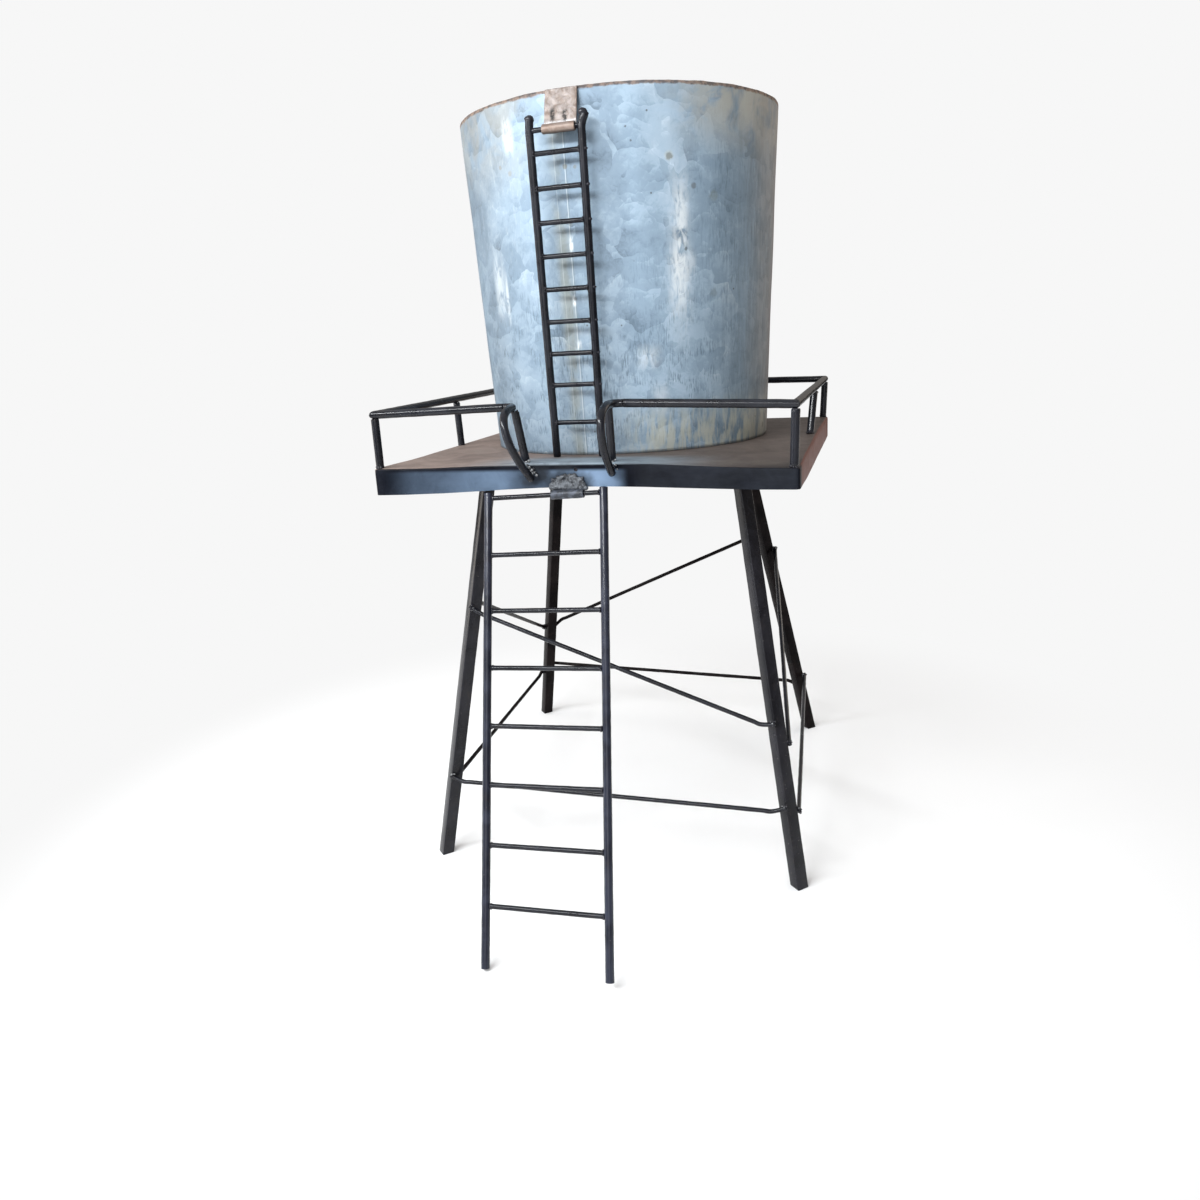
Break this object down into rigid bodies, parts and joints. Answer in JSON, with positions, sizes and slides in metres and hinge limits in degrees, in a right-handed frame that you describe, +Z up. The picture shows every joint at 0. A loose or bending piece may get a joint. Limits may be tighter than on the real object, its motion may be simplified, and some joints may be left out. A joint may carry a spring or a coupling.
{
  "type": "welded model water tower",
  "caption": "Welded metal model of a water tower: an open tapered tank on a railed square platform with splayed braced legs and two ladders.",
  "frame": {"origin": "on the ground, in the middle of the whole footprint including the leaning ladder", "axes": "+Z up, -Y out of the ladder side, +X to the right when facing the ladders"},
  "size_m": [0.4166, 0.578, 0.7519],
  "materials": {
    "black_paint": "satin black paint over welded steel, with weld spatter, brown sheen and thin wear",
    "galvanised_sheet": "weathered galvanised sheet with broad spangle, pale blue grey with yellow-brown runs and a rusty cut rim",
    "bare_steel": "bare rusty brown steel, satin, with weld marks"
  },
  "bodies": {
    "tower": {"platform_pan": "black_paint", "leg_front_left": "black_paint", "leg_front_right": "black_paint", "leg_back_left": "black_paint", "leg_back_right": "black_paint", "brace_front_level": "black_paint", "brace_front_diagonal": "black_paint", "brace_right_level": "black_paint", "brace_right_diagonal": "black_paint", "brace_back_level": "black_paint", "brace_back_diagonal": "black_paint", "brace_left_level": "black_paint", "brace_left_diagonal": "black_paint", "rail_front_left": "black_paint", "rail_left": "black_paint", "rail_back": "black_paint", "rail_right": "black_paint", "rail_front_right": "black_paint", "post_front_left": "black_paint", "post_front_right": "black_paint", "post_back_left": "black_paint", "post_back_right": "black_paint", "post_left_middle": "black_paint", "post_right_middle": "black_paint", "post_back_middle": "black_paint", "post_gate_left": "black_paint", "post_gate_right": "black_paint", "grab_hoop_left": "black_paint", "grab_hoop_right": "black_paint", "upper_ladder": "black_paint", "ladder_hinge_tab": "black_paint", "tank_shell": "galvanised_sheet", "tank_floor": "galvanised_sheet", "upper_ladder_tab": "bare_steel"},
    "lower_ladder": {"lower_stile_left": "black_paint", "lower_stile_right": "black_paint", "lower_rung_1": "black_paint", "lower_rung_2": "black_paint", "lower_rung_3": "black_paint", "lower_rung_4": "black_paint", "lower_rung_5": "black_paint", "lower_rung_6": "black_paint", "lower_rung_7": "black_paint", "lower_rung_8": "black_paint"}
  },
  "joints": [
    {"name": "ladder_hinge", "type": "hinge", "parent": "tower", "child": "lower_ladder", "pos_m": [-0.00665, -0.12423, 0.39491], "axis": [-0.9988, 0, -0.0489], "range_deg": [0, 105]}
  ]
}
